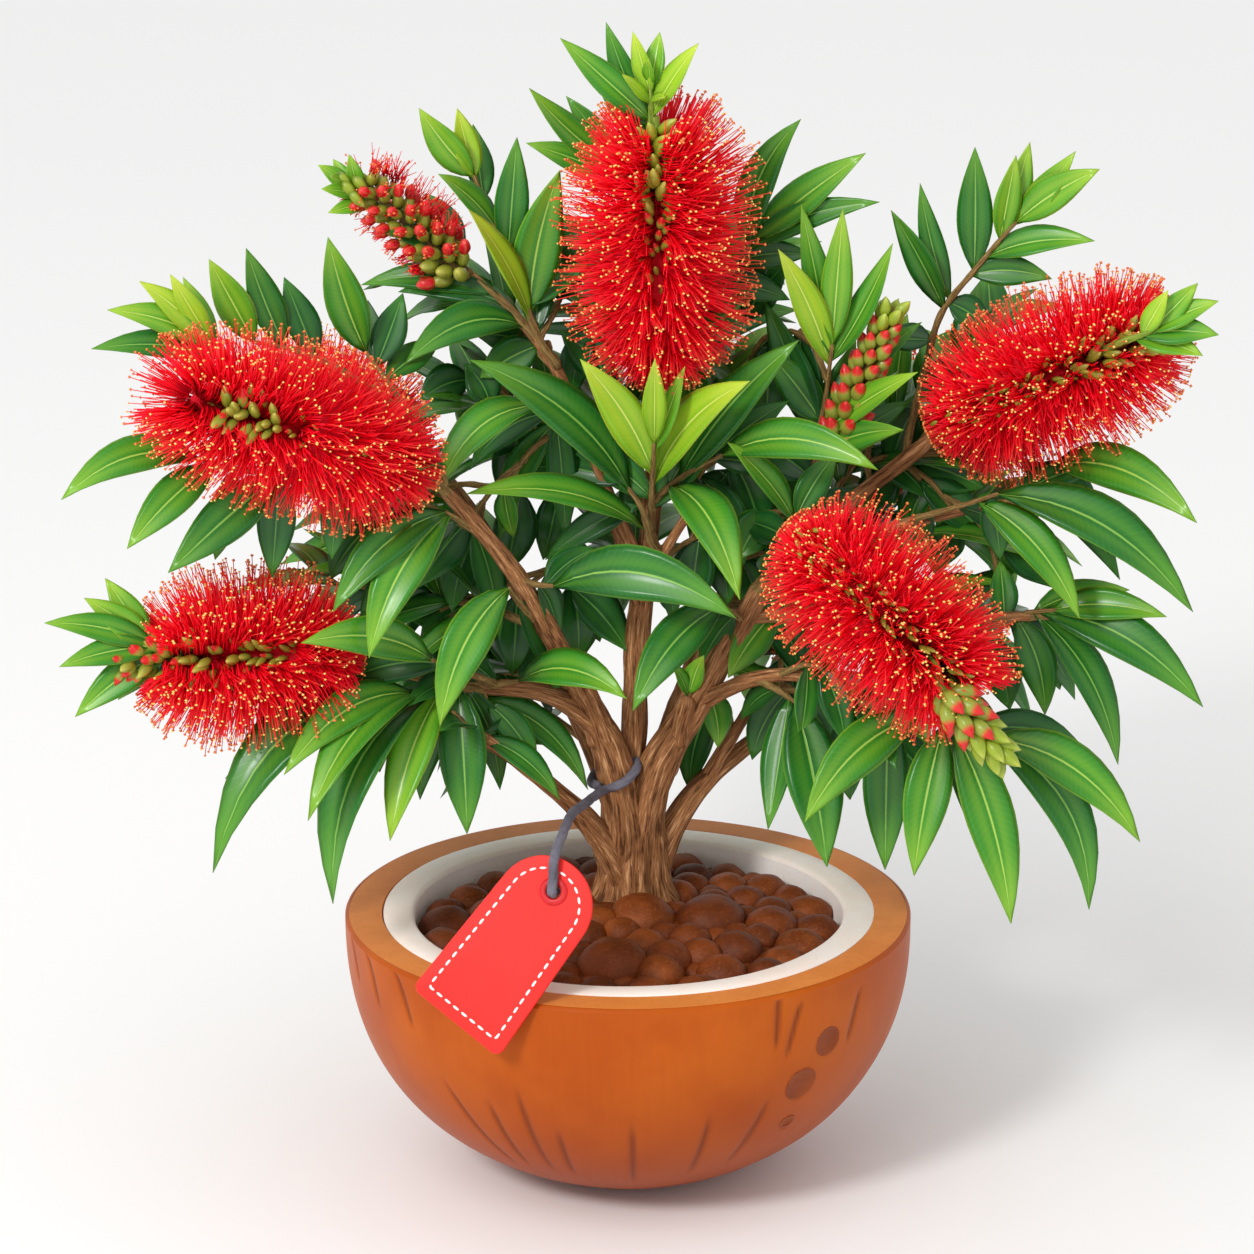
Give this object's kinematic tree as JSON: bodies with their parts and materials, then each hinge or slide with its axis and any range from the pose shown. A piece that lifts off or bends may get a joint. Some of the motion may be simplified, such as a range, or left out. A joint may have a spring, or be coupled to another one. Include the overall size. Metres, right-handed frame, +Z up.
{
  "type": "bottlebrush plant",
  "caption": "Flowering bottlebrush shrub with red brush-like blooms and long glossy leaves, growing in a half coconut bowl filled with clay balls, with a hanging tag.",
  "frame": {"origin": "centre of the bowl's flat underside, the plane the pot stands on", "axes": "+Z up along the bowl's axis, -Y towards the plant's front, +X to the right as seen from the front"},
  "size_m": [0.408, 0.2436, 0.419],
  "materials": {
    "husk": "smooth satin, cut edge lighter",
    "flesh": "smooth matt",
    "clay_ball": "matt, rounded lumps",
    "bark": "rough, ridged along the limbs",
    "leaf": null,
    "young_leaf": null,
    "bristle": null,
    "bud": null,
    "card": "smooth stiff card with stitched edge",
    "string": "twisted grey string, stiffened"
  },
  "bodies": {
    "root": {"pot_husk": "husk", "pot_flesh": "flesh", "clay_ball_bed": "clay_ball", "tag": "card", "tag_string": "string", "trunk": "bark", "left_stem": "bark", "right_bough": "bark", "right_upper_bough": "bark", "left_bough": "bark", "low_left_bough": "bark", "right_low_bough": "bark", "centre_bough": "bark", "upper_left_bough": "bark", "right_side_bough": "bark", "far_right_bough": "bark", "far_right_low_bough": "bark", "back_left_bough": "bark", "back_right_bough": "bark", "back_bough": "bark", "bloom_top": "bristle", "bloom_upper_left": "bristle", "bloom_lower_left": "bristle", "bloom_upper_right": "bristle", "bloom_lower_right": "bristle", "bloom_half_open": "bristle", "bloom_in_bud": "bud", "bloom_back_top": "bristle", "bloom_back_left": "bristle", "bloom_back_right": "bristle", "bloom_back_low": "bristle", "leaves_top_tuft": "young_leaf", "leaves_top_back": "leaf", "leaves_upper_left_twig": "leaf", "leaves_upper_left_side": "leaf", "leaves_centre_left": "leaf", "leaves_centre_top": "leaf", "leaves_centre_right": "leaf", "leaves_centre_low": "leaf", "leaves_left_above": "leaf", "leaves_left_tuft": "young_leaf", "leaves_left_below": "leaf", "leaves_lower_left_tuft": "young_leaf", "leaves_left_mid": "leaf", "leaves_low_left_outer": "leaf", "leaves_low_left_inner": "leaf", "leaves_right_above": "leaf", "leaves_upper_right_twig": "leaf", "leaves_upper_right_tip": "young_leaf", "leaves_right_mid": "leaf", "leaves_right_low": "leaf", "leaves_low_right_outer": "leaf", "leaves_low_right_droop": "leaf", "leaves_low_right_inner": "leaf", "leaves_inner_left": "leaf", "leaves_inner_right": "leaf", "leaves_back_left": "leaf", "leaves_back_right": "leaf", "leaves_back_top": "leaf", "leaves_back_low": "leaf"}
  },
  "joints": []
}
